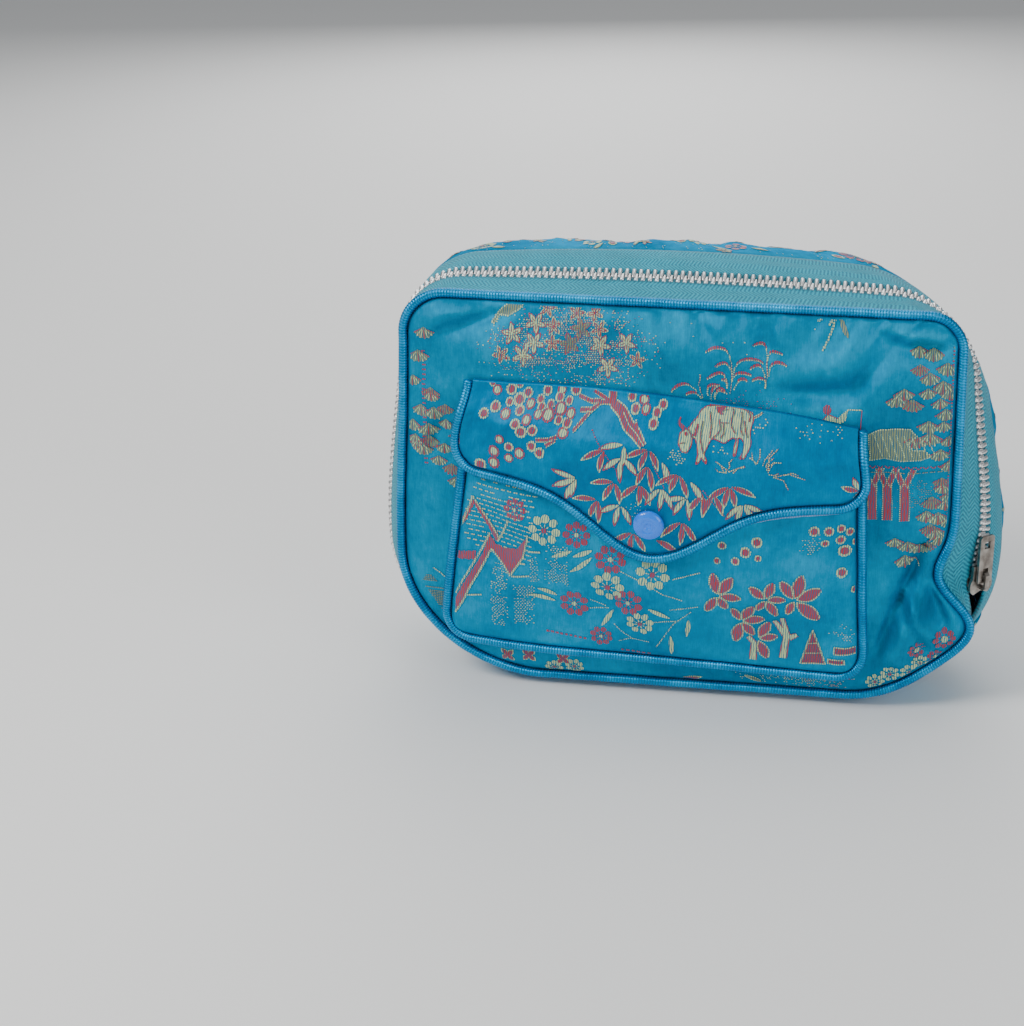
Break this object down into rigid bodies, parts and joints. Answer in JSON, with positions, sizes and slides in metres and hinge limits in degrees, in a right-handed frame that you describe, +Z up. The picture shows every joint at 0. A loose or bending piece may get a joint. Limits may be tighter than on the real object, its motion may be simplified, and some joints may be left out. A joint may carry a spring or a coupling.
{
  "type": "embroidered purse",
  "caption": "Soft Chinese silk brocade purse that stands on its base: bowed panels edged with piping, a zip round the top and sides, and a front pocket with a snapped flap.",
  "frame": {"origin": "middle of the flat patch of the underside that the purse stands on", "axes": "+Z up, -Y out of the front panel with the pocket, +X to the right seen from the front, towards the zip's slider"},
  "size_m": [0.2229, 0.0892, 0.1581],
  "materials": {
    "satin": "turquoise silk satin with a woven pattern",
    "cord_satin": "ribbed azure satin over a cord",
    "tape_weave": "matt pale teal woven tape",
    "zip_metal": "bright, lightly worn",
    "pull_metal": "nickel plate, rubbed at the edges",
    "cap_plastic": "glossy light blue"
  },
  "bodies": {
    "purse": {"front_panel": "satin", "back_panel": "satin", "front_piping": "cord_satin", "back_piping": "cord_satin", "rear_band": "satin", "base_gusset": "satin", "zip_tape_front": "tape_weave", "zip_tape_rear": "tape_weave", "zip_chain": "zip_metal", "zip_slider": "pull_metal", "pocket_panel": "satin", "pocket_piping": "cord_satin", "flap": "satin", "flap_piping": "cord_satin", "snap_cap": "cap_plastic"},
    "pull": {"pull_tab": "pull_metal"}
  },
  "joints": [
    {"name": "pull_swing", "type": "hinge", "parent": "purse", "child": "pull", "pos_m": [0.10598, -0.01814, 0.04754], "axis": [0.7201, 0.6923, -0.0459], "range_deg": [0, 150]}
  ]
}
